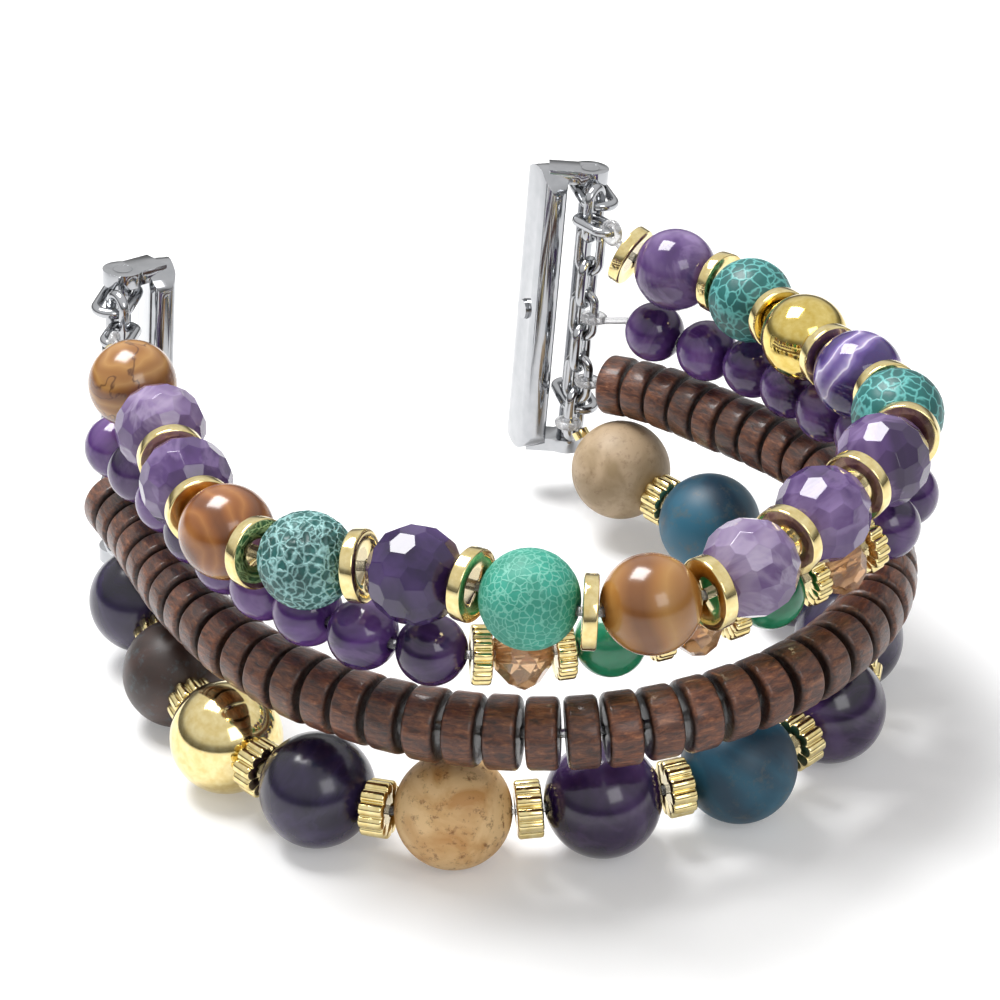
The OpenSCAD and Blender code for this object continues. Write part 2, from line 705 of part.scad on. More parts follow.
placed() top_cord();
placed() small_cord();
placed() wood_cord();
placed() bottom_cord();
placed() chain(true);  // chain_left
placed() chain(false);  // chain_right
placed() strand_ring(true);  // strand_ring_left
placed() strand_ring(false);  // strand_ring_right
placed() ring(true, end_outer_z);  // upper_ring_left
placed() ring(true, -end_inner_z);  // lower_ring_left
placed() ring(false, end_outer_z);  // upper_ring_right
placed() ring(false, -end_inner_z);  // lower_ring_right
placed() lug(true);  // lug_left
placed() lug(false);  // lug_right
placed() bar(true);  // bar_left
placed() bar(false);  // bar_right
placed() catch(true);  // catch_left
placed() catch(false);  // catch_right
placed() catch_spring(true);  // catch_spring_left
placed() catch_spring(false);  // catch_spring_right
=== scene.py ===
"""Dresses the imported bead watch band: stones, wood, gold, steel and elastic, in a small studio."""
import math
import random

import bmesh
import bpy
import numpy as np
from mathutils import Matrix, Vector, noise


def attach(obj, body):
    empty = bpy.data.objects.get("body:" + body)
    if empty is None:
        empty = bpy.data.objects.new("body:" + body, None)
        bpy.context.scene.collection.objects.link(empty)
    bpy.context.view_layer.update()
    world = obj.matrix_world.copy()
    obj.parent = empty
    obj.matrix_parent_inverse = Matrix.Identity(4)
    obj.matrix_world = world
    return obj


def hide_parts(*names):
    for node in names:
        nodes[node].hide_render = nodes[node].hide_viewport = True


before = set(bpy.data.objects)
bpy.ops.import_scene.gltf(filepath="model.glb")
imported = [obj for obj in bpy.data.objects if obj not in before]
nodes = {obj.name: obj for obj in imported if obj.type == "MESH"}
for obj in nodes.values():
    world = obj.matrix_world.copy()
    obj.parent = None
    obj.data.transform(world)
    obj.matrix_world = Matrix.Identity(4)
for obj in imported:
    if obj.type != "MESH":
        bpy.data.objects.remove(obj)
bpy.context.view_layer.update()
scene = bpy.context.scene
MM = 0.001

# Sizes of the real pieces, in metres: a ball's diameter, or a flat piece's diameter and thickness
TOP_BEAD = 8 * MM
BOTTOM_BEAD = 10 * MM
SMALL_BEAD = 6 * MM
BORE = 1.2 * MM
WASHER = (6 * MM, 1.2 * MM)
GEAR = (5 * MM, 1.6 * MM)
FLOWER = (5 * MM, 2.2 * MM)
DISC = (6.3 * MM, 2.8 * MM)
CRYSTAL = (6 * MM, 4.6 * MM)
CORD = 0.8 * MM
LINK_WIRE = 1.0 * MM

# Rings: length, width and thickness of the wire
STRAND_RING = (5.6 * MM, 3.3 * MM, 0.9 * MM)
OVAL_RING = (8 * MM, 4 * MM, LINK_WIRE)

# Camera: the photograph's viewing angle, on the same lens
CAMERA_AIM = Vector((0.775, 36.933, 0)) * MM
CAMERA_RISE = math.radians(27.24)
CAMERA_ROLL = math.radians(-3.06)
CAMERA_DISTANCE = 296.9 * MM
CAMERA_LENS_MM = 101.64
CAMERA_SENSOR_MM = 36
CAMERA_NEAR = 0.01
CAMERA_FAR = 20


def new_object(name, data):
    o = bpy.data.objects.new(name, data)
    scene.collection.objects.link(o)
    return o


def make_camera():
    data = bpy.data.cameras.new("camera")
    data.lens = CAMERA_LENS_MM
    data.sensor_width = CAMERA_SENSOR_MM
    data.clip_start = CAMERA_NEAR
    data.clip_end = CAMERA_FAR
    camera = new_object("camera", data)
    back = Vector((0, -math.cos(CAMERA_RISE), math.sin(CAMERA_RISE)))
    up = Vector((0, math.sin(CAMERA_RISE), math.cos(CAMERA_RISE)))
    across = Vector((1, 0, 0))
    right = across * math.cos(CAMERA_ROLL) + up * math.sin(CAMERA_ROLL)
    top = up * math.cos(CAMERA_ROLL) - across * math.sin(CAMERA_ROLL)
    turn = Matrix((right, top, back)).transposed().to_4x4()
    camera.matrix_world = Matrix.Translation(CAMERA_AIM + back * CAMERA_DISTANCE) @ turn
    scene.camera = camera


make_camera()


# Shader and geometry trees
def linear(code):
    """The linear colour of an sRGB hex value."""
    parts = [int(code[i : i + 2], 16) / 255 for i in (1, 3, 5)]
    curve = [c / 12.92 if c <= 0.04045 else ((c + 0.055) / 1.055) ** 2.4 for c in parts]
    return (*curve, 1)


def add(tree, kind, inputs=None, ramp=None, **settings):
    """Adds one node, with its settings, its input values or links, and its ramp's stops."""
    n = tree.nodes.new(kind)
    for name, value in settings.items():
        setattr(n, name, value)
    for name, value in (inputs or {}).items():
        socket = n.inputs[name]
        if isinstance(value, bpy.types.NodeSocket):
            tree.links.new(value, socket)
        elif isinstance(value, bpy.types.Node):
            tree.links.new(value.outputs[0], socket)
        elif isinstance(value, str) and value.startswith("#"):
            socket.default_value = linear(value)
        else:
            socket.default_value = value
    if ramp:
        stops = n.color_ramp.elements
        while len(stops) < len(ramp):
            stops.new(1)
        for stop, (place, code) in zip(stops, ramp):
            stop.position = place
            stop.color = linear(code) if isinstance(code, str) else (code, code, code, 1)
    return n


def empty_tree(owner):
    """The node tree of a material or world, with nothing in it."""
    owner.use_nodes = True
    owner.node_tree.nodes.clear()
    return owner.node_tree


def finish_of(name, paint, **shader):
    """A material whose paint function draws its pattern and returns what drives the shader."""
    m = bpy.data.materials.new(name)
    t = empty_tree(m)
    links = paint(t)
    links.update({key.replace("_", " "): value for key, value in shader.items()})
    body = add(t, "ShaderNodeBsdfPrincipled", links)
    add(t, "ShaderNodeOutputMaterial", {"Surface": body})
    return m


# How far apart the patterns of two pieces are drawn, so that no two look alike
LOT_SHIFT = 40 * MM
# The lots between which a piece's shade goes from darkest to lightest
DARK_LOT, LIGHT_LOT = 0.2, 0.8
# Refraction of quartz, which amethyst, jasper, agate and aventurine are all made of
QUARTZ_IOR = 1.54


def own_place(t, step_mm, turn=(0, 0, 0), stretch=(1, 1, 1)):
    """Each piece's own coordinates, in steps of that length, shifted for each piece."""
    here = add(t, "ShaderNodeAttribute", attribute_name="own_place").outputs["Vector"]
    lot = add(t, "ShaderNodeAttribute", attribute_name="lot").outputs["Vector"]
    away = add(t, "ShaderNodeVectorMath", {0: lot, "Scale": LOT_SHIFT}, operation="SCALE")
    moved = add(t, "ShaderNodeVectorMath", {0: here, 1: away})
    scale = tuple(s / (step_mm * MM) for s in stretch)
    return add(t, "ShaderNodeMapping", {"Vector": moved, "Rotation": turn, "Scale": scale})


def swayed(t, place, scale, detail, reach):
    """The place shifted by soft noise, so that what is drawn on it bends."""
    sway = add(t, "ShaderNodeTexNoise", {"Vector": place, "Scale": scale, "Detail": detail})
    shift = {0: sway.outputs["Color"], "Scale": reach}
    bend = add(t, "ShaderNodeVectorMath", shift, operation="SCALE")
    return add(t, "ShaderNodeVectorMath", {0: place, 1: bend})


def from_middle(t, cloud):
    """How far a cloud is from its middle value, which is nothing along thin winding lines."""
    past = add(t, "ShaderNodeMath", {0: cloud, 1: 0.5}, operation="SUBTRACT")
    return add(t, "ShaderNodeMath", {0: past}, operation="ABSOLUTE")


def shaded_by_lot(t, colour, least, most):
    """Makes each piece of a lot a little darker or lighter than the next."""
    lot = add(t, "ShaderNodeAttribute", attribute_name="lot").outputs["Fac"]
    span = {"From Min": DARK_LOT, "From Max": LIGHT_LOT, "To Min": least, "To Max": most}
    shade = add(t, "ShaderNodeMapRange", {"Value": lot, **span})
    pair = {0: 1.0, 6: colour, 7: shade}
    return add(t, "ShaderNodeMix", pair, data_type="RGBA", blend_type="MULTIPLY").outputs[2]


# Amethyst: cut or tumbled quartz, polished; clouds and pale veils float under a clear skin
def amethyst(name, deep, body, veil, veils, polish=0.08, see=0.1, least=0.75, most=1.2):
    def paint(t):
        place = own_place(t, step_mm=3.4)
        soft = {"Vector": place, "Scale": 0.6, "Detail": 3, "Distortion": 0.6}
        cloud = add(t, "ShaderNodeTexNoise", soft)
        stops = [(0.34, deep), (0.5, body), (0.74, veil)]
        tone = add(t, "ShaderNodeValToRGB", {"Fac": cloud}, ramp=stops)
        drift = add(
            t,
            "ShaderNodeTexNoise",
            {"Vector": place, "Scale": 0.34, "Detail": 5, "Roughness": 0.55, "Distortion": 1.2},
        )
        near = {"Value": from_middle(t, drift), "From Max": 0.06, "To Min": veils, "To Max": 0.0}
        wisp = add(t, "ShaderNodeMapRange", near, interpolation_type="SMOOTHSTEP")
        colour = add(t, "ShaderNodeMix", {0: wisp, 6: tone, 7: veil}, data_type="RGBA").outputs[2]
        return {"Base Color": shaded_by_lot(t, colour, least, most)}

    return finish_of(
        name,
        paint,
        Roughness=polish,
        IOR=QUARTZ_IOR,
        Transmission_Weight=see,
        Subsurface_Weight=0.2,
        Subsurface_Radius=(1.0, 0.6, 1.4),
        Subsurface_Scale=MM,
    )


# Banded amethyst: white quartz bands run through the purple in a chevron
def banded_amethyst():
    def paint(t):
        place = own_place(t, step_mm=2.6, turn=(0.4, 0.9, 0.3))
        bent = swayed(t, place, scale=0.5, detail=3, reach=1.3)
        broad = {"Vector": bent, "Scale": 0.17, "Distortion": 0.8, "Detail": 3}
        bands = add(t, "ShaderNodeTexWave", broad)
        purple = [(0.2, "#3E2C66"), (0.5, "#5C4788"), (0.68, "#8E7CAE")]
        white = [(0.74, "#DAD3E4"), (0.82, "#9C8DB8"), (1, "#64508E")]
        tone = add(t, "ShaderNodeValToRGB", {"Fac": bands}, ramp=purple + white)
        return {"Base Color": tone}

    return finish_of(
        "banded_amethyst",
        paint,
        Roughness=0.08,
        IOR=QUARTZ_IOR,
        Subsurface_Weight=0.15,
        Subsurface_Scale=MM,
    )


# Wood-grain jasper: opaque honey stone, sawn and polished; soft bands, a few dark seams
def jasper(name, dark, body, pale, turn, seams, band_mm):
    def paint(t):
        place = own_place(t, band_mm, turn=turn)
        bent = swayed(t, place, scale=0.5, detail=2, reach=1.5)
        rings = add(
            t,
            "ShaderNodeTexWave",
            {"Vector": bent, "Scale": 0.3, "Distortion": 1.6, "Detail": 2, "Detail Scale": 0.7},
            wave_type="RINGS",
            rings_direction="X",
        )
        stops = [(0.05, dark), (0.4, body), (0.75, pale), (1, body)]
        tone = add(t, "ShaderNodeValToRGB", {"Fac": rings}, ramp=stops)
        split = {"Vector": bent, "Scale": 0.42, "Detail": 4, "Distortion": 0.6}
        near = from_middle(t, add(t, "ShaderNodeTexNoise", split))
        thin = {"Value": near, "From Max": 0.012, "To Min": seams, "To Max": 0.0}
        seam = add(t, "ShaderNodeMapRange", thin)
        pair = {0: seam, 6: tone, 7: "#4A2510"}
        colour = add(t, "ShaderNodeMix", pair, data_type="RGBA").outputs[2]
        return {"Base Color": shaded_by_lot(t, colour, least=0.95, most=1.05)}

    return finish_of(
        name, paint, Roughness=0.2, IOR=QUARTZ_IOR, Coat_Weight=0.2, Coat_Roughness=0.08
    )


# Crackled agate: dyed stone, heat-crazed then tumbled matte; a pale net of ridges over deeper cells
def crackle(name, ground, patch, line, cell_mm, width, rough, relief_mm):
    def paint(t):
        place = own_place(t, cell_mm)
        bent = swayed(t, place, scale=0.9, detail=2, reach=0.9)
        grid = {"Vector": bent, "Scale": 1}
        cells = add(t, "ShaderNodeTexVoronoi", grid, feature="DISTANCE_TO_EDGE")
        edge = {"Value": cells.outputs["Distance"], "From Max": width, "To Min": 1.0, "To Max": 0.0}
        net = add(t, "ShaderNodeMapRange", edge, interpolation_type="SMOOTHSTEP")
        broad = add(t, "ShaderNodeTexNoise", {"Vector": place, "Scale": 0.3, "Detail": 3})
        stops = [(0.38, ground), (0.62, patch)]
        tone = add(t, "ShaderNodeValToRGB", {"Fac": broad}, ramp=stops)
        faded = {"Value": broad, "From Min": 0.3, "From Max": 0.6, "To Min": 0.55}
        worn = add(t, "ShaderNodeMapRange", faded)
        amount = add(t, "ShaderNodeMath", {0: net, 1: worn}, operation="MULTIPLY")
        pair = {0: amount, 6: tone, 7: line}
        colour = add(t, "ShaderNodeMix", pair, data_type="RGBA").outputs[2]
        ridge = {"Height": net, "Distance": relief_mm * MM, "Strength": 1.0}
        return {"Base Color": colour, "Normal": add(t, "ShaderNodeBump", ridge)}

    return finish_of(name, paint, Roughness=rough, IOR=QUARTZ_IOR)


# Picture stones: tumbled but left matte, so their specks show and nothing shines sharply
def specked(name, ground, pale, speck, speck_mm, amount, rough=0.55):
    def paint(t):
        place = own_place(t, speck_mm)
        wide = {"Vector": place, "Scale": 0.18, "Detail": 5, "Distortion": 0.8}
        broad = add(t, "ShaderNodeTexNoise", wide)
        tone = add(t, "ShaderNodeValToRGB", {"Fac": broad}, ramp=[(0.38, ground), (0.6, pale)])
        close = {"Vector": place, "Scale": 0.9, "Detail": 6, "Roughness": 0.75}
        fine = add(t, "ShaderNodeTexNoise", close)
        peaks = {"Value": fine, "From Min": 0.54, "From Max": 0.66, "To Max": amount}
        dots = add(t, "ShaderNodeMapRange", peaks)
        colour = add(t, "ShaderNodeMix", {0: dots, 6: tone, 7: speck}, data_type="RGBA").outputs[2]
        grain = add(t, "ShaderNodeBump", {"Height": fine, "Distance": 0.02 * MM, "Strength": 0.5})
        return {"Base Color": colour, "Normal": grain}

    return finish_of(name, paint, Roughness=rough, IOR=QUARTZ_IOR)


# Green aventurine: polished quartz, even green with a few milky bands
def aventurine():
    def paint(t):
        place = own_place(t, step_mm=4, stretch=(1, 1, 0.4))
        milky = {"Vector": place, "Scale": 1, "Detail": 3, "Distortion": 0.5}
        cloud = add(t, "ShaderNodeTexNoise", milky)
        stops = [(0.35, "#14603F"), (0.55, "#2A8560"), (0.75, "#7FBFA2")]
        return {"Base Color": add(t, "ShaderNodeValToRGB", {"Fac": cloud}, ramp=stops)}

    return finish_of(
        "polished_aventurine",
        paint,
        Roughness=0.12,
        IOR=QUARTZ_IOR,
        Subsurface_Weight=0.15,
        Subsurface_Scale=MM,
    )


# Champagne cut glass: clear tinted glass, ground and polished; bright facets with brown depths
def cut_glass():
    def paint(t):
        depths = {"Vector": own_place(t, step_mm=3), "Scale": 1, "Detail": 2}
        cloud = add(t, "ShaderNodeTexNoise", depths)
        stops = [(0.35, "#C08850"), (0.65, "#E8C49A")]
        return {"Base Color": add(t, "ShaderNodeValToRGB", {"Fac": cloud}, ramp=stops)}

    return finish_of(
        "champagne_cut_glass", paint, Roughness=0.01, IOR=1.6, Transmission_Weight=0.75
    )


# Gold plating: bright gold on polished brass; tumbling marks break the mirror a little. The real
# marks are far finer, and are drawn 0.7 mm apart so that they show
def gold_plate(name, dull, bright):
    def paint(t):
        marked = {"Vector": own_place(t, step_mm=0.7), "Scale": 1, "Detail": 4}
        wear = add(t, "ShaderNodeTexNoise", marked)
        rough = add(t, "ShaderNodeMapRange", {"Value": wear, "To Min": 0.05, "To Max": 0.16})
        tone = add(t, "ShaderNodeValToRGB", {"Fac": wear}, ramp=[(0.3, dull), (0.7, bright)])
        marks = add(t, "ShaderNodeBump", {"Height": wear, "Distance": 0.005 * MM, "Strength": 0.4})
        return {"Base Color": tone, "Roughness": rough, "Normal": marks}

    return finish_of(name, paint, Metallic=1.0)


# Steel: drawn wire and a cast lug, both polished bright; a faint haze, 0.7 clouds to a millimetre
def steel_polish():
    def paint(t):
        place = add(t, "ShaderNodeTexCoord").outputs["Object"]
        haze = add(t, "ShaderNodeTexNoise", {"Vector": place, "Scale": 0.7 / MM, "Detail": 5})
        rough = add(t, "ShaderNodeMapRange", {"Value": haze, "To Min": 0.09, "To Max": 0.12})
        stops = [(0.3, "#A9ABAE"), (0.7, "#B4B5B8")]
        tone = add(t, "ShaderNodeValToRGB", {"Fac": haze}, ramp=stops)
        return {"Base Color": tone, "Roughness": rough}

    return finish_of("polished_steel", paint, Metallic=1.0)


# Where a disc's rim ends and its sawn face begins, from the middle of its thickness
SAWN_FACE = (1.15 * MM, 1.38 * MM)


# Walnut-brown hardwood: discs sawn from a turned rod, stained and lacquered; fibres run along the
# rod, so the rim shows streaks. The sawn faces, which look onto the next disc across a narrow gap,
# are painted nearly black: partly the darker stain that end grain takes, partly painted shade of
# the gaps between discs. The fibres are drawn about 0.4 mm wide, coarser than real ones, so that
# they show
def turned_wood():
    def paint(t):
        here = add(t, "ShaderNodeAttribute", attribute_name="own_place").outputs["Vector"]
        place = own_place(t, step_mm=1, stretch=(1, 1, 0.3))
        fibre = add(
            t,
            "ShaderNodeTexNoise",
            {"Vector": place, "Scale": 2.6, "Detail": 7, "Roughness": 0.68, "Distortion": 0.5},
        )
        stops = [(0.32, "#20100A"), (0.46, "#4E2918"), (0.58, "#704026"), (0.74, "#A06A44")]
        tone = add(t, "ShaderNodeValToRGB", {"Fac": fibre}, ramp=stops)
        stained = shaded_by_lot(t, tone, least=0.7, most=1.25)
        # Painted shade: the sawn faces, which lie in the gaps between discs, go towards near black;
        # part of this is the darker stain of end grain
        up = add(t, "ShaderNodeSeparateXYZ", {0: here}).outputs["Z"]
        out = add(t, "ShaderNodeMath", {0: up}, operation="ABSOLUTE")
        sawn = {"Value": out, "From Min": SAWN_FACE[0], "From Max": SAWN_FACE[1], "To Max": 0.85}
        stain_and_gap_shade = add(t, "ShaderNodeMapRange", sawn)
        pair = {0: stain_and_gap_shade, 6: stained, 7: "#160C09"}
        colour = add(t, "ShaderNodeMix", pair, data_type="RGBA").outputs[2]
        gloss = add(t, "ShaderNodeMapRange", {"Value": fibre, "To Min": 0.24, "To Max": 0.5})
        pores = add(t, "ShaderNodeBump", {"Height": fibre, "Distance": 0.18 * MM, "Strength": 0.7})
        return {"Base Color": colour, "Roughness": gloss, "Normal": pores}

    return finish_of("lacquered_walnut", paint, IOR=1.45, Coat_Weight=0.35, Coat_Roughness=0.16)


# Elastic cord: extruded clear polyurethane; milky, slightly glossy, 0.9 clouds to a millimetre
def elastic():
    def paint(t):
        place = add(t, "ShaderNodeTexCoord").outputs["Object"]
        cloud = add(t, "ShaderNodeTexNoise", {"Vector": place, "Scale": 0.9 / MM, "Detail": 2})
        stops = [(0.3, "#D6D6D8"), (0.7, "#F0F0F0")]
        return {"Base Color": add(t, "ShaderNodeValToRGB", {"Fac": cloud}, ramp=stops)}

    return finish_of("clear_elastic", paint, Roughness=0.2, IOR=1.45, Transmission_Weight=0.8)


GOLD = gold_plate("pale_gold_plate", "#DAC383", "#ECDCA6")
YELLOW_GOLD = gold_plate("yellow_gold_plate", "#D0B45A", "#E6D083")
STEEL = steel_polish()
WOOD = turned_wood()
ELASTIC = elastic()
GREEN = aventurine()
GLASS = cut_glass()
BANDED_AMETHYST = banded_amethyst()
SMALL_AMETHYST = amethyst(
    "small_amethyst",
    "#2E1748",
    "#523072",
    "#84649F",
    veils=0.3,
    polish=0.1,
    see=0.12,
    least=0.6,
    most=1.35,
)
DARK_AMETHYST = amethyst(
    "dark_amethyst", "#180B2A", "#2E1A4A", "#4A3268", veils=0.2, polish=0.06, see=0.04
)
MID_AMETHYST = amethyst("mid_amethyst", "#321C48", "#52366E", "#8E76A6", veils=0.45)
PALE_AMETHYST = amethyst("pale_amethyst", "#624A7A", "#846C9A", "#B9A9C6", veils=0.5, see=0.16)
NIGHT_AMETHYST = amethyst(
    "night_amethyst", "#140F24", "#231A38", "#3C3058", veils=0.3, polish=0.2, see=0.0
)
PLUM_AMETHYST = amethyst(
    "plum_amethyst", "#1A0F2C", "#301C44", "#523C68", veils=0.35, polish=0.16, see=0.02
)
SEAMED_JASPER = jasper(
    "seamed_jasper",
    "#784A24",
    "#946430",
    "#AB7E46",
    turn=(0.2, 1.3, 0.2),
    seams=0.85,
    band_mm=3.2,
)
RINGED_JASPER = jasper(
    "ringed_jasper",
    "#6E3E1A",
    "#8A5224",
    "#A06834",
    turn=(1.2, 0.2, 0.5),
    seams=0.1,
    band_mm=3.0,
)
PLAIN_JASPER = jasper(
    "plain_jasper",
    "#784A22",
    "#986630",
    "#AA7C42",
    turn=(0.8, 0.5, 2.2),
    seams=0.05,
    band_mm=7.0,
)
BOLD_CRACKLE = crackle(
    "bold_crackle_agate",
    "#0A403D",
    "#175E5A",
    "#98C8C6",
    cell_mm=0.8,
    width=0.18,
    rough=0.45,
    relief_mm=0.1,
)
FROST_CRACKLE = crackle(
    "frosted_crackle_agate",
    "#238570",
    "#2E9883",
    "#74BCA8",
    cell_mm=0.62,
    width=0.13,
    rough=0.55,
    relief_mm=0.02,
)
DARK_CRACKLE = crackle(
    "dark_crackle_agate",
    "#0E4A49",
    "#186461",
    "#62B2AE",
    cell_mm=1.15,
    width=0.13,
    rough=0.42,
    relief_mm=0.02,
)
PICTURE_JASPER = specked(
    "picture_jasper", "#C28E50", "#E4C08A", "#7A481E", speck_mm=0.75, amount=0.85
)
SAND_JASPER = specked("sand_jasper", "#96805F", "#B39C7E", "#7A5F44", speck_mm=0.7, amount=0.5)
APATITE = specked(
    "blue_apatite", "#0C2E42", "#205C74", "#5E5A4C", speck_mm=1.6, amount=0.45, rough=0.5
)
BROWN_STONE = specked(
    "brown_stone", "#2A1C17", "#46302A", "#4A6068", speck_mm=1.3, amount=0.45, rough=0.42
)


# Meshes: everything turned on a lathe is one grid of rings, closed through its bore
def lathe(profile, around, shape=None):
    """Vertices and faces of a closed outline [(radius, height)...] turned round Z."""
    rings = len(profile)
    angle = np.linspace(0, 2 * math.pi, around, endpoint=False)
    r = np.array([p[0] for p in profile])[:, None] * np.ones(around)
    z = np.array([p[1] for p in profile])[:, None] * np.ones(around)
    if shape:
        r, z = shape(r, z, angle)
    points = np.stack([r * np.cos(angle), r * np.sin(angle), z], -1).reshape(-1, 3)
    faces = []
    for i in range(rings):
        k = (i + 1) % rings
        for j in range(around):
            m = (j + 1) % around
            faces.append((i * around + j, i * around + m, k * around + m, k * around + j))
    return points, faces


def turned(name, profile, around, shape=None, dent=None):
    """A mesh from the lathe, dented where that is asked for, with its faces outwards."""
    points, faces = lathe(profile, around, shape)
    if dent:
        points = dent(points)
    mesh = bpy.data.meshes.new(name)
    mesh.from_pydata([tuple(p) for p in points], [], faces)
    mesh.update()
    mesh.shade_smooth()
    b = bmesh.new()
    b.from_mesh(mesh)
    bmesh.ops.recalc_face_normals(b, faces=b.faces)
    b.to_mesh(mesh)
    b.free()
    return mesh


# A ball's outline starts this many bore radii out; the edge of the bore lies this much deeper, and
# two more rings divide the bore at this share of its length
MOUTH_FLARE = 1.15
MOUTH_SINK = 0.1 * MM
BORE_RING = 0.3


def ball_profile(d, steps):
    """Half the outline of a bored ball, from the lower bore mouth to the upper one, and back."""
    r, b = d / 2, BORE / 2
    low = math.asin(b / r * MOUTH_FLARE)
    outline = [
        (r * math.sin(a), -r * math.cos(a)) for a in np.linspace(low, math.pi - low, steps)
    ]
    mouth = outline[-1][1] - MOUTH_SINK
    return outline + [(b, mouth), (b, mouth * BORE_RING), (b, -mouth * BORE_RING), (b, -mouth)]


def flat_profile(d, t, edge, steps):
    """The outline of a bored disc with a rounded rim."""
    r, b = d / 2, BORE / 2
    arc = [math.pi / 2 * i / steps for i in range(steps + 1)]
    lower = [(r - edge + edge * math.sin(a), -t / 2 + edge - edge * math.cos(a)) for a in arc]
    upper = [(r - edge + edge * math.cos(a), t / 2 - edge + edge * math.sin(a)) for a in arc]
    return [(b, -t / 2)] + lower + upper + [(b, t / 2)]


def remember_place(mesh, lot=None):
    """Keeps each point's place on its own piece, and the piece's lot, for the patterns."""
    co = np.zeros(len(mesh.vertices) * 3, np.float32)
    mesh.vertices.foreach_get("co", co)
    mesh.attributes.new("own_place", "FLOAT_VECTOR", "POINT")
    mesh.attributes["own_place"].data.foreach_set("vector", co)
    if lot:
        mesh.attributes.new("lot", "FLOAT_VECTOR", "POINT")
        drawn = np.tile(np.array(lot, np.float32), len(mesh.vertices))
        mesh.attributes["lot"].data.foreach_set("vector", drawn)
    return mesh


# Where the CAD pieces are: each solid of a node, its middle and its main directions. Points this
# near to each other are one
SAME_POINT = 0.001 * MM


def merged_copy(name):
    """A copy of a CAD node's mesh, in which its loose triangles are joined."""
    b = bmesh.new()
    b.from_mesh(nodes[name].data)
    bmesh.ops.remove_doubles(b, verts=b.verts, dist=SAME_POINT)
    return b


def solids_of(name):
    """The solids of a CAD node, as arrays of points."""
    b = merged_copy(name)
    b.verts.ensure_lookup_table()
    seen, found = set(), []
    for start in b.verts:
        if start.index in seen:
            continue
        seen.add(start.index)
        stack, group = [start], []
        while stack:
            v = stack.pop()
            group.append(v.co[:])
            for e in v.link_edges:
                w = e.other_vert(v)
                if w.index not in seen:
                    seen.add(w.index)
                    stack.append(w)
        found.append(np.array(group))
    b.free()
    return found


def middle_of(points):
    return Vector((points.min(0) + points.max(0)) / 2)


def main_axes(points):
    """The directions of most and least spread."""
    spread = np.cov((points - points.mean(0)).T)
    _, ways = np.linalg.eigh(spread)
    return Vector(ways[:, 2]), Vector(ways[:, 0])


CORDS = ("top_cord", "small_cord", "wood_cord", "bottom_cord")
CORD_POINTS = {name: np.vstack(solids_of(name)) for name in CORDS}
# How far past a piece's ends its cord is still looked at
CORD_REACH = 0.75 * CORD


def cord_way(middle, cord, length):
    """The cord's direction through a piece, from the cord's own points near it."""
    points = CORD_POINTS[cord]
    away = np.linalg.norm(points - np.array(middle), axis=1)
    return main_axes(points[away < length / 2 + CORD_REACH])[0]


def facing(way, spin):
    """A turn that brings Z to way, with a spin about it first."""
    return way.to_track_quat("Z", "Y") @ Matrix.Rotation(spin, 3, "Z").to_quaternion()


# Pieces wider than long, whose own least spread is the cord's direction
FLAT_PIECES = ("gold_washers", "gear_spacers", "flower_spacers", "wood_discs")


def places_of(name, cord, length, rng):
    """For each solid of a node: its middle, its turn along the cord, and its lot."""
    result = []
    for points in solids_of(name):
        middle = middle_of(points)
        way = main_axes(points)[1] if name in FLAT_PIECES else cord_way(middle, cord, length)
        spin = rng.uniform(0, 2 * math.pi)
        result.append((middle, facing(way, spin), tuple(rng.random() for _ in range(3))))
    return result


# Trees that string repeated pieces, and draw wire along a path
STRAND_SEED = 7
WIRE_SIDES = 20


def begin_tree(name, sockets):
    """A tree that takes geometry, the sockets asked for and a finish, and gives geometry."""
    tree = bpy.data.node_groups.new(name, "GeometryNodeTree")
    tree.interface.new_socket("Geometry", in_out="INPUT", socket_type="NodeSocketGeometry")
    for label, kind, value in sockets:
        s = tree.interface.new_socket(label, in_out="INPUT", socket_type=kind)
        if value is not None:
            s.default_value = value
    tree.interface.new_socket("Finish", in_out="INPUT", socket_type="NodeSocketMaterial")
    tree.interface.new_socket("Geometry", in_out="OUTPUT", socket_type="NodeSocketGeometry")
    return tree, add(tree, "NodeGroupInput")


def end_tree(tree, given, geometry):
    """Makes the geometry real, gives it its finish and hands it out."""
    real = add(tree, "GeometryNodeRealizeInstances", {"Geometry": geometry})
    finish = {"Geometry": real, "Material": given.outputs["Finish"]}
    add(tree, "NodeGroupOutput", {0: add(tree, "GeometryNodeSetMaterial", finish)})
    return tree


def stringing_tree():
    """Puts one piece on every point, turned as the point says, and hands on the point's lot."""
    tree, given = begin_tree(
        "string_pieces",
        [
            ("Piece", "NodeSocketObject", None),
            ("Size spread", "NodeSocketFloat", 0.0),
            ("Seed", "NodeSocketInt", STRAND_SEED),
        ],
    )
    piece = add(tree, "GeometryNodeObjectInfo", {"Object": given.outputs["Piece"]})
    turn = add(tree, "GeometryNodeInputNamedAttribute", {"Name": "turn"}, data_type="QUATERNION")
    spread = {0: 1.0, 1: given.outputs["Size spread"]}
    least = add(tree, "ShaderNodeMath", spread, operation="SUBTRACT")
    sizes = {2: least, 3: 1.0, "Seed": given.outputs["Seed"]}
    size = add(tree, "FunctionNodeRandomValue", sizes, data_type="FLOAT")
    on = add(
        tree,
        "GeometryNodeInstanceOnPoints",
        {
            "Points": given.outputs["Geometry"],
            "Instance": piece.outputs["Geometry"],
            "Rotation": turn.outputs["Attribute"],
            "Scale": size.outputs[1],
        },
    )
    return end_tree(tree, given, on)


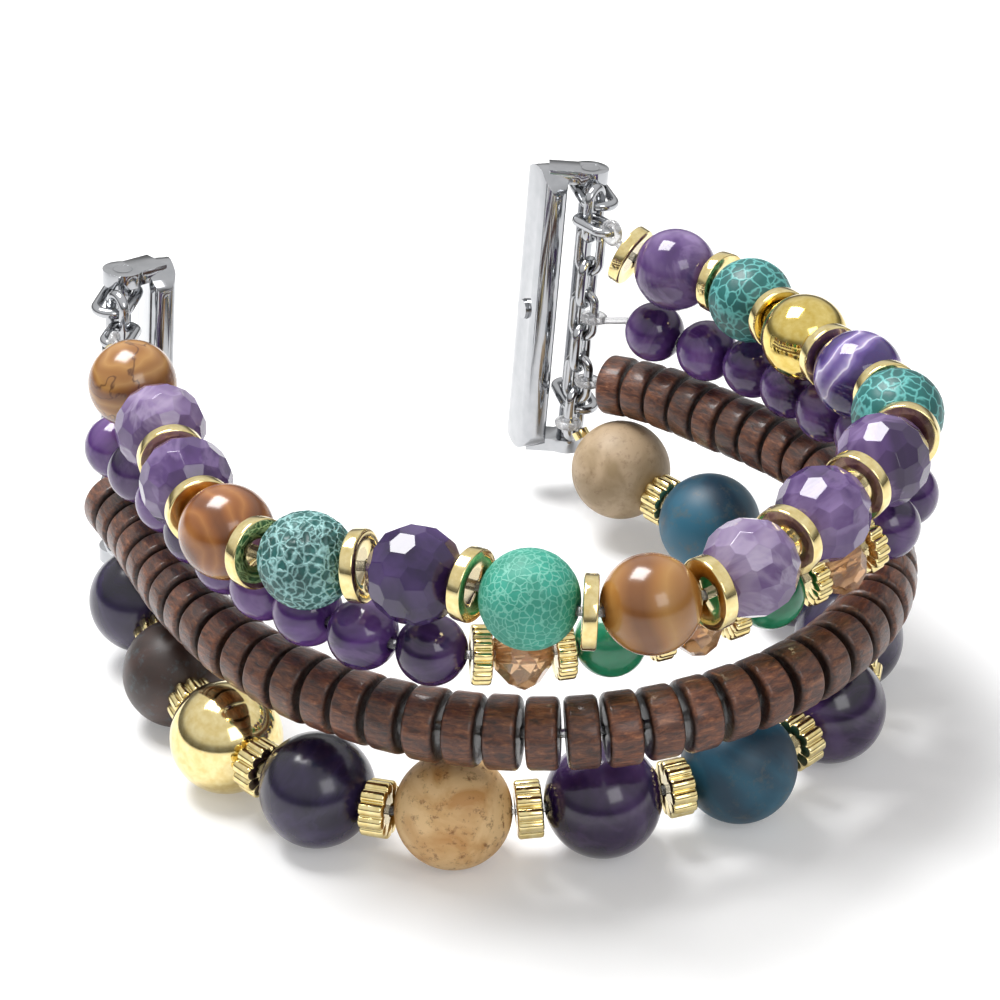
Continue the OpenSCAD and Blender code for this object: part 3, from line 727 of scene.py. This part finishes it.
def wire_tree():
    """Draws round wire along curves."""
    tree, given = begin_tree(
        "draw_wire",
        [
            ("Wire diameter", "NodeSocketFloat", LINK_WIRE),
            ("Sides", "NodeSocketInt", WIRE_SIDES),
        ],
    )
    whole = {0: given.outputs["Wire diameter"], 1: 0.5}
    half = add(tree, "ShaderNodeMath", whole, operation="MULTIPLY")
    section = {"Resolution": given.outputs["Sides"], "Radius": half}
    ring = add(tree, "GeometryNodeCurvePrimitiveCircle", section)
    path = {"Curve": given.outputs["Geometry"], "Profile Curve": ring, "Fill Caps": True}
    return end_tree(tree, given, add(tree, "GeometryNodeCurveToMesh", path))


STRING_PIECES = stringing_tree()
DRAW_WIRE = wire_tree()


def grown(name, seed_object, tree, values):
    """Runs a tree on an object and keeps the result as a plain mesh."""
    modifier = seed_object.modifiers.new("tree", "NODES")
    modifier.node_group = tree
    for item in tree.interface.items_tree:
        if item.in_out == "INPUT" and item.name in values:
            modifier[item.identifier] = values[item.name]
    seen = seed_object.evaluated_get(bpy.context.evaluated_depsgraph_get())
    mesh = bpy.data.meshes.new_from_object(seen)
    mesh.name = name
    bpy.data.objects.remove(seed_object)
    mesh.shade_smooth()
    return new_object(name, mesh)


def strung(name, master, places, finish, spread, seed=STRAND_SEED):
    """Copies of one piece on every place of a strand."""
    points = bpy.data.meshes.new(name + "_places")
    points.from_pydata([tuple(p[0]) for p in places], [], [])
    points.attributes.new("turn", "QUATERNION", "POINT")
    points.attributes.new("lot", "FLOAT_VECTOR", "POINT")
    for i, (_, q, drawn) in enumerate(places):
        points.attributes["turn"].data[i].value = q
        points.attributes["lot"].data[i].vector = drawn
    piece = new_object(name + "_master", master)
    o = grown(
        name,
        new_object(name + "_seed", points),
        STRING_PIECES,
        {"Piece": piece, "Size spread": float(spread), "Seed": seed, "Finish": finish},
    )
    bpy.data.objects.remove(piece)
    return o


def settle(o, body, node):
    """Says what a finished piece rides on, and hides the CAD node that it stands for."""
    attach(o, body)
    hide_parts(node)


# How many points a ball has round its cord and from bore to bore
BIG_BALL = (96, 64)
PITTED_BALL = (200, 140)
SMALL_BALL = (56, 36)
GREEN_BALL = (64, 44)
# A stone keeps its true shape this near to its middle, so that its bore stays round
NEAR_BORE = 1.5 * BORE
# How uneven a tumbled stone is, as a share of its radius, and how broad its lumps are
TOP_LUMPS = (0.008, 3 * MM)
BOTTOM_LUMPS = (0.006, 4 * MM)
# Width and depth of the cells of a crazed stone
PITTED_CELLS = (0.85 * MM, 0.11 * MM)
FROSTED_CELLS = (0.95 * MM, 0.025 * MM)
# How far into a cell its wall slopes
CELL_SLOPE = 0.45
# From one stone's place in the noise to the next one's
NOISE_STEP = (7.1, 3.3, 5.7)


def smooth_ball(d, around, steps, dent=None):
    return turned("ball", ball_profile(d, steps), around, dent=dent)


def dented(sunk):
    """Moves every point outside the bore inwards, by the share of its radius that sunk gives."""

    def dent(points):
        moved = []
        for p in points:
            v = Vector(p)
            moved.append(v * (1 - sunk(v)) if v.length > NEAR_BORE else p)
        return np.array(moved)

    return dent


def noise_place(seed):
    """Where in the noise a stone lies, away from the other stones."""
    return Vector([seed * step for step in NOISE_STEP])


def lumpy(depth, size, seed):
    """Slight unevenness of a hand-tumbled stone, always inwards."""
    shift = noise_place(seed)
    return dented(lambda v: depth * (0.5 + 0.5 * noise.noise(v / size + shift)))


def pitted(cell, depth, seed):
    """A net of fine ridges with sunken cells, as weathered agate has."""
    shift = noise_place(seed)

    def sunk(v):
        near = noise.voronoi(v / cell + shift)[0]
        return depth * min(1.0, max(0.0, (near[1] - near[0]) / CELL_SLOPE)) / v.length

    return dented(sunk)


# Rows of facets on a cut ball: latitude in degrees and how many go round
FACET_ROWS = ((-76, 5), (-52, 10), (-26, 13), (0, 13), (26, 13), (52, 10), (76, 5))
# How deep a facet lies under the ball, as a share of its radius, and how wide its worn edges are
FACET_DEPTH = 0.036
FACET_EDGE = 0.06 * MM
# Edges this near to the cord's line are the bore's own, and stay sharp
BORE_EDGE = 0.6 * BORE
# Rows of kites on a crystal: latitude in degrees, turn in kites, and depth as a share of the radius
CRYSTAL_ROWS = ((0, 0.5, 1.0), (48, 0.5, 0.86), (-48, 0.5, 0.86), (24, 0, 0.965), (-24, 0, 0.965))
CRYSTAL_KITES = 8
# Every kite lies this much nearer to the middle, so that the girdle's corners hardly pass the
# full diameter
GIRDLE = 0.95
# The cube that a stone is ground from, as a share of its diameter
BALL_BLANK = 1.2
CRYSTAL_BLANK = 2
BORE_SIDES = 24
DRILL_LENGTH = 15 * MM
# Faces at less than this angle count as one flat; edges shorter than a sliver are closed up
FLAT_ANGLE = math.radians(2)
SLIVER = 0.003 * MM


def mesh_from(b, name):
    """A mesh with what was built, which is then let go."""
    mesh = bpy.data.meshes.new(name)
    b.to_mesh(mesh)
    b.free()
    return mesh


def drilled(mesh):
    """The mesh with the cord's bore cut through it along Z."""
    b = bmesh.new()
    bmesh.ops.create_cone(
        b,
        cap_ends=True,
        segments=BORE_SIDES,
        radius1=BORE / 2,
        radius2=BORE / 2,
        depth=DRILL_LENGTH,
    )
    drill_mesh = mesh_from(b, "drill")
    drill, piece = new_object("drill", drill_mesh), new_object("undrilled", mesh)
    bore = piece.modifiers.new("bore", "BOOLEAN")
    bore.object = drill
    bore.solver = "EXACT"
    seen = piece.evaluated_get(bpy.context.evaluated_depsgraph_get())
    result = bpy.data.meshes.new_from_object(seen)
    for spent in (drill, piece):
        bpy.data.objects.remove(spent)
    for spent in (drill_mesh, mesh):
        bpy.data.meshes.remove(spent)
    return result


def facet_ways(latitude, count, shift):
    """The directions of one row of facets round a stone."""
    e = math.radians(latitude)
    for k in range(count):
        a = 2 * math.pi * (k + shift) / count
        yield Vector((math.cos(e) * math.cos(a), math.cos(e) * math.sin(a), math.sin(e)))


def grind(b, place, way):
    """Grinds a flat on a stone, through place and square to way."""
    cut = bmesh.ops.bisect_plane(
        b,
        geom=b.verts[:] + b.edges[:] + b.faces[:],
        plane_co=place,
        plane_no=way,
        clear_outer=True,
    )
    edges = [g for g in cut["geom_cut"] if isinstance(g, bmesh.types.BMEdge)]
    if edges:
        bmesh.ops.edgeloop_fill(b, edges=edges)


def cut_ball(d):
    """A ball cut by flat facets, with its edges just broken by polishing, and its bore."""
    b = bmesh.new()
    bmesh.ops.create_cube(b, size=BALL_BLANK * d)
    for row, (latitude, count) in enumerate(FACET_ROWS):
        for way in facet_ways(latitude, count, 0.5 * (row % 2)):
            grind(b, way * d / 2 * (1 - FACET_DEPTH), way)
    mesh = drilled(mesh_from(b, "cut_ball"))
    b = bmesh.new()
    b.from_mesh(mesh)
    corners = [
        e
        for e in b.edges
        if e.calc_face_angle() > FLAT_ANGLE and all(v.co.xy.length > BORE_EDGE for v in e.verts)
    ]
    bmesh.ops.bevel(
        b,
        geom=corners,
        offset=FACET_EDGE,
        segments=2,
        profile=0.7,
        affect="EDGES",
        clamp_overlap=True,
    )
    bmesh.ops.remove_doubles(b, verts=b.verts, dist=SLIVER)
    bmesh.ops.triangulate(b, faces=b.faces)
    bmesh.ops.dissolve_degenerate(b, dist=SLIVER, edges=b.edges)
    bmesh.ops.recalc_face_normals(b, faces=b.faces)
    b.to_mesh(mesh)
    b.free()
    mesh.shade_flat()
    return mesh


def cut_crystal(d, length):
    """A bicone crystal: two rows of kites round a sharp girdle, with flat ends."""
    b = bmesh.new()
    bmesh.ops.create_cube(b, size=CRYSTAL_BLANK * d)
    for way in (Vector((0, 0, 1)), Vector((0, 0, -1))):
        grind(b, way * (length / 2), way)
    for latitude, shift, share in CRYSTAL_ROWS:
        for way in facet_ways(latitude, CRYSTAL_KITES, shift):
            grind(b, way * (share * d / 2 * GIRDLE), way)
    bmesh.ops.recalc_face_normals(b, faces=b.faces)
    mesh = mesh_from(b, "cut_crystal")
    mesh.shade_flat()
    return drilled(mesh)


# Toothed and scalloped spacers
def ribbed(count, depth, sharp, reach):
    """Shapes a lathe's outer rim into ribs; sharp above 1 narrows the valleys."""

    def shape(r, z, angle):
        wave = np.abs(np.cos(angle * count / 2)) ** (1 / sharp)
        outer = np.clip((r - reach) / (r.max() - reach), 0, 1)
        return r - outer * depth * (1 - wave), z

    return shape


def washer_mesh():
    return turned("washer", flat_profile(*WASHER, edge=0.18 * MM, steps=4), around=72)


def gear_mesh():
    teeth, points_each = 14, 12
    rim = ribbed(teeth, depth=0.42 * MM, sharp=1.6, reach=1.5 * MM)
    outline = flat_profile(*GEAR, edge=0.28 * MM, steps=4)
    return turned("gear", outline, around=teeth * points_each, shape=rim)


def flower_mesh():
    petals, points_each = 11, 14
    rim = ribbed(petals, depth=0.5 * MM, sharp=2.0, reach=1.4 * MM)
    outline = flat_profile(*FLOWER, edge=0.26 * MM, steps=4)
    return turned("flower", outline, around=petals * points_each, shape=rim)


# Hand-turned discs: how many kinds there are; then, as shares, how far their rims leave a circle in
# two broad waves and in five narrow ones, how much their sizes differ, and how far their faces lean
DISC_KINDS = 6
DISC_OVAL = 0.012
DISC_WAVE = 0.006
DISC_SPREAD = 0.03
DISC_LEAN = (0.01, 0.03)


def disc_mesh(kind):
    """A hand-turned disc: a little out of round, its faces not quite parallel."""
    rng = random.Random(kind)
    a, b = rng.uniform(0, 6), rng.uniform(0, 6)
    tilt = rng.uniform(*DISC_LEAN)

    def shape(r, z, angle):
        worn = 1 - DISC_OVAL * (1 + np.cos(2 * angle + a)) - DISC_WAVE * (1 + np.cos(5 * angle + b))
        lean = tilt * (1 + np.cos(angle + b)) * (r > BORE)
        return np.where(r > BORE, r * worn, r), z * (1 - lean)

    outline = flat_profile(*DISC, edge=0.5 * MM, steps=5)
    return turned("disc", outline, around=56, shape=shape)


# What each big bead of the top strand is: finish, slot, how it was made, and its spin in degrees
TOP_BEADS = (
    (SEAMED_JASPER, "jasper", "round", 20),
    (PALE_AMETHYST, "pale_amethyst", "cut", 10),
    (MID_AMETHYST, "pale_amethyst", "cut", 40),
    (RINGED_JASPER, "jasper", "round", 80),
    (BOLD_CRACKLE, "agate_teal", "pitted", 0),
    (DARK_AMETHYST, "amethyst", "cut", 25),
    (FROST_CRACKLE, "agate_teal", "frosted", 60),
    (PLAIN_JASPER, "jasper", "round", 150),
    (PALE_AMETHYST, "pale_amethyst", "cut", 75),
    (MID_AMETHYST, "amethyst", "cut", 15),
    (MID_AMETHYST, "amethyst", "cut", 60),
    (DARK_CRACKLE, "agate_teal", "frosted", 30),
    (BANDED_AMETHYST, "amethyst", "round", 45),
    (YELLOW_GOLD, "gold", "round", 0),
    (DARK_CRACKLE, "agate_teal", "frosted", 90),
    (MID_AMETHYST, "amethyst", "round", 10),
)
# The bottom strand's: finish and slot; all are round, and each is turned further than the last
BOTTOM_BEADS = (
    (NIGHT_AMETHYST, "amethyst"),
    (BROWN_STONE, "walnut_stone"),
    (GOLD, "gold"),
    (NIGHT_AMETHYST, "amethyst"),
    (PICTURE_JASPER, "sand_jasper"),
    (PLUM_AMETHYST, "amethyst"),
    (APATITE, "apatite"),
    (PLUM_AMETHYST, "amethyst"),
    (NIGHT_AMETHYST, "amethyst"),
    (PLUM_AMETHYST, "amethyst"),
    (APATITE, "apatite"),
    (SAND_JASPER, "sand_jasper"),
)
BOTTOM_SPIN = 0.7
BOTTOM_SEED = 20
# The lots of the big beads keep to the middle, so that none is much darker or lighter
BIG_LOTS = (0.3, 0.7)
big_draw = random.Random(11)


def thread_bead(mesh, name, node, cord, size, finish, spin):
    """Sets one big bead on its cord, in its own body."""
    remember_place(mesh, [big_draw.uniform(*BIG_LOTS) for _ in range(3)])
    mesh.name = name
    middle = middle_of(np.vstack(solids_of(node)))
    turn = facing(cord_way(middle, cord, size), spin).to_matrix().to_4x4()
    mesh.transform(Matrix.Translation(middle) @ turn)
    mesh.materials.append(finish)
    settle(new_object(name, mesh), node, node)


def top_bead_mesh(made, finish, seed):
    if made == "cut":
        return cut_ball(TOP_BEAD)
    if made == "pitted":
        return smooth_ball(TOP_BEAD, *PITTED_BALL, pitted(*PITTED_CELLS, seed))
    if made == "frosted":
        return smooth_ball(TOP_BEAD, *BIG_BALL, pitted(*FROSTED_CELLS, seed))
    dent = None if finish is YELLOW_GOLD else lumpy(*TOP_LUMPS, seed)
    return smooth_ball(TOP_BEAD, *BIG_BALL, dent)


def make_big_beads():
    for i, (finish, slot, made, spin) in enumerate(TOP_BEADS, 1):
        mesh = top_bead_mesh(made, finish, i)
        name, node = f"{slot}_{made}_top_{i}", f"top_bead_{i}"
        thread_bead(mesh, name, node, "top_cord", TOP_BEAD, finish, math.radians(spin))
    for i, (finish, slot) in enumerate(BOTTOM_BEADS, 1):
        dent = None if finish is GOLD else lumpy(*BOTTOM_LUMPS, BOTTOM_SEED + i)
        mesh = smooth_ball(BOTTOM_BEAD, *BIG_BALL, dent)
        name, node = f"{slot}_bottom_{i}", f"bottom_bead_{i}"
        thread_bead(mesh, name, node, "bottom_cord", BOTTOM_BEAD, finish, i * BOTTOM_SPIN)


def purple_ball():
    return smooth_ball(SMALL_BEAD, *SMALL_BALL)


def green_ball():
    return smooth_ball(SMALL_BEAD, *GREEN_BALL)


def crystal_mesh():
    return cut_crystal(*CRYSTAL)


# The pieces strung in lots: node, cord, length along it, master, finish, slot and spread of sizes
STRUNG = (
    ("gold_washers", "top_cord", WASHER[1], washer_mesh, GOLD, "gold", 0),
    ("small_beads", "small_cord", SMALL_BEAD, purple_ball, SMALL_AMETHYST, "amethyst", 0.02),
    ("green_beads", "small_cord", SMALL_BEAD, green_ball, GREEN, "aventurine", 0),
    ("crystals", "small_cord", CRYSTAL[1], crystal_mesh, GLASS, "crystal", 0),
    ("gear_spacers", "small_cord", GEAR[1], gear_mesh, GOLD, "gold", 0),
    ("flower_spacers", "bottom_cord", FLOWER[1], flower_mesh, GOLD, "gold", 0),
)
PLACE_SEED = 5


def make_strand_pieces():
    rng = random.Random(PLACE_SEED)
    for node, cord, length, make, finish, slot, spread in STRUNG:
        places = places_of(node, cord, length, rng)
        o = strung(node + "_dressed", remember_place(make()), places, finish, spread)
        if node == "crystals":
            o.data.shade_flat()
        settle(o, "band", node)
    discs = places_of("wood_discs", "wood_cord", DISC[1], rng)
    for kind in range(DISC_KINDS):
        name, places = f"wood_discs_turned_{kind + 1}", discs[kind::DISC_KINDS]
        o = strung(name, remember_place(disc_mesh(kind)), places, WOOD, DISC_SPREAD, kind)
        settle(o, "band", "wood_discs")


# Wire pieces: links and rings drawn along the CAD ones' own ovals, with this many steps at each
# round end
OVAL_STEPS = 14


def oval_points(middle, long_way, flat_way, length, width, wire):
    """Points round the wire's middle line of an oval ring."""
    r = (width - wire) / 2
    run = (length - width) / 2
    side = flat_way.cross(long_way)
    ring = []
    for s in (1, -1):
        for k in range(OVAL_STEPS + 1):
            a = math.pi * (k / OVAL_STEPS - 0.5)
            ring.append(middle + s * (long_way * (run + r * math.cos(a)) + side * r * math.sin(a)))
    return ring


def wire_curve(name, paths):
    """A curve object with one closed line for each path."""
    data = bpy.data.curves.new(name, "CURVE")
    data.dimensions = "3D"
    for points in paths:
        line = data.splines.new("POLY")
        line.points.add(len(points) - 1)
        for p, q in zip(line.points, points):
            p.co = (*q, 1)
        line.use_cyclic_u = True
    return new_object(name, data)


def link_path(points, size):
    """The oval of one link or ring, in the size given or else the solid's own."""
    long_way, flat_way = main_axes(points)
    along = (points - points.mean(0)) @ np.array(long_way)
    across = (points - points.mean(0)) @ np.array(flat_way.cross(long_way))
    size = size or (np.ptp(along), np.ptp(across), LINK_WIRE)
    return oval_points(middle_of(points), long_way, flat_way, *size)


def make_steel_wire():
    for side in ("left", "right"):
        wanted = (
            (f"chain_{side}", "band", None),
            (f"strand_ring_{side}", "band", STRAND_RING),
            (f"upper_ring_{side}", f"rings_{side}", OVAL_RING),
            (f"lower_ring_{side}", f"rings_{side}", OVAL_RING),
        )
        for node, body, size in wanted:
            paths = [link_path(points, size) for points in solids_of(node)]
            wire = size[2] if size else LINK_WIRE
            values = {"Wire diameter": wire, "Sides": WIRE_SIDES, "Finish": STEEL}
            o = grown(node + "_wire", wire_curve(node + "_path", paths), DRAW_WIRE, values)
            settle(o, body, node)


# The width to which a lug's edges are broken, and the angle from which an edge counts as sharp
LUG_EDGE = 0.22 * MM
SHARP_ANGLE = math.radians(35)


def make_lugs():
    """The cast lugs with their sharp edges broken, from a merged copy of the CAD solids."""
    for side in ("left", "right"):
        node = f"lug_{side}"
        b = merged_copy(node)
        bmesh.ops.dissolve_limit(b, angle_limit=FLAT_ANGLE, verts=b.verts, edges=b.edges)
        edges = [e for e in b.edges if len(e.link_faces) == 2]
        sharp = [e for e in edges if e.calc_face_angle() > SHARP_ANGLE]
        bmesh.ops.bevel(
            b,
            geom=sharp,
            offset=LUG_EDGE,
            segments=3,
            profile=0.5,
            affect="EDGES",
            clamp_overlap=True,
        )
        bmesh.ops.recalc_face_normals(b, faces=b.faces)
        mesh = mesh_from(b, node + "_cast")
        mesh.materials.append(STEEL)
        mesh.shade_smooth()
        mesh.set_sharp_from_angle(angle=SHARP_ANGLE)
        settle(new_object(node + "_cast", mesh), node, node)


def refinish(node, finish):
    """Gives a CAD node that keeps its own shape its material."""
    nodes[node].data.materials.clear()
    nodes[node].data.materials.append(finish)


def finish_cad_pieces():
    for side in ("left", "right"):
        for node in (f"bar_{side}", f"catch_{side}", f"catch_spring_{side}"):
            refinish(node, STEEL)
    refinish("crimps", GOLD)
    for node in CORDS:
        refinish(node, ELASTIC)


# Studio: a pale floor, an even fill from all sides, and soft lamps above and in front
FLOOR_HALF = 3.0
FLOOR_GLOW = 0.22
FILL_LIGHT = 0.4
LAMP_AIM = Vector((0, 0, 0.015))
# Each lamp's place, size and power
LAMPS = {
    "key": ((-0.12, 0.10, 0.45), 0.24, 2.9),
    "front": ((0.25, -0.50, 0.40), 0.30, 0.9),
}


def shown_apart(t, lighting, shown):
    """One shader for what the camera, gloss and glass see, and another for the light it gives."""
    rays = add(t, "ShaderNodeLightPath")
    straight = {0: rays.outputs["Is Camera Ray"], 1: rays.outputs["Is Glossy Ray"]}
    seen = add(t, "ShaderNodeMath", straight, operation="MAXIMUM")
    through = {0: seen, 1: rays.outputs["Is Transmission Ray"]}
    seen = add(t, "ShaderNodeMath", through, operation="MAXIMUM")
    return add(t, "ShaderNodeMixShader", {0: seen, 1: lighting, 2: shown})


def make_floor():
    """Matte, very faintly mottled; it glows a little where it is seen, and so looks white."""
    half = FLOOR_HALF
    mesh = bpy.data.meshes.new("floor")
    corners = [(-half, -half, 0), (half, -half, 0), (half, half, 0), (-half, half, 0)]
    mesh.from_pydata(corners, [], [(0, 1, 2, 3)])
    floor = new_object("floor", mesh)
    m = bpy.data.materials.new("pale_floor")
    t = empty_tree(m)
    grain = add(t, "ShaderNodeTexNoise", {"Scale": 30})
    tone = add(t, "ShaderNodeValToRGB", {"Fac": grain}, ramp=[(0.3, 0.8), (0.7, 0.82)])
    matte = add(t, "ShaderNodeBsdfDiffuse", {"Color": tone})
    glow = add(t, "ShaderNodeEmission", {"Color": "#FFFFFF", "Strength": FLOOR_GLOW})
    both = add(t, "ShaderNodeAddShader", {0: matte, 1: glow})
    add(t, "ShaderNodeOutputMaterial", {"Surface": shown_apart(t, matte, both)})
    mesh.materials.append(m)


def make_world():
    """Dark near the floor and white above, which gives metal and glass something to mirror."""
    scene.world = bpy.data.worlds.new("studio")
    t = empty_tree(scene.world)
    way = add(t, "ShaderNodeTexCoord").outputs["Generated"]
    up = add(t, "ShaderNodeSeparateXYZ", {0: way}).outputs["Z"]
    height = add(t, "ShaderNodeMapRange", {"Value": up, "From Min": 0.0, "From Max": 0.6})
    stops = [(0, 0.1), (0.3, 0.3), (0.5, 0.75), (1, 0.95)]
    tone = add(t, "ShaderNodeValToRGB", {"Fac": height}, ramp=stops)
    shown = add(t, "ShaderNodeBackground", {"Color": tone, "Strength": 1.0})
    fill = add(t, "ShaderNodeBackground", {"Color": "#FFFFFF", "Strength": FILL_LIGHT})
    add(t, "ShaderNodeOutputWorld", {"Surface": shown_apart(t, fill, shown)})


def make_lamps():
    for name, (place, size, power) in LAMPS.items():
        data = bpy.data.lights.new(name, "AREA")
        data.size = size
        data.energy = power
        lamp = new_object(name, data)
        lamp.location = place
        lamp.rotation_euler = (Vector(place) - LAMP_AIM).to_track_quat("Z", "Y").to_euler()


make_big_beads()
make_strand_pieces()
make_steel_wire()
make_lugs()
finish_cad_pieces()
make_floor()
make_world()
make_lamps()
scene.view_settings.view_transform = "Standard"
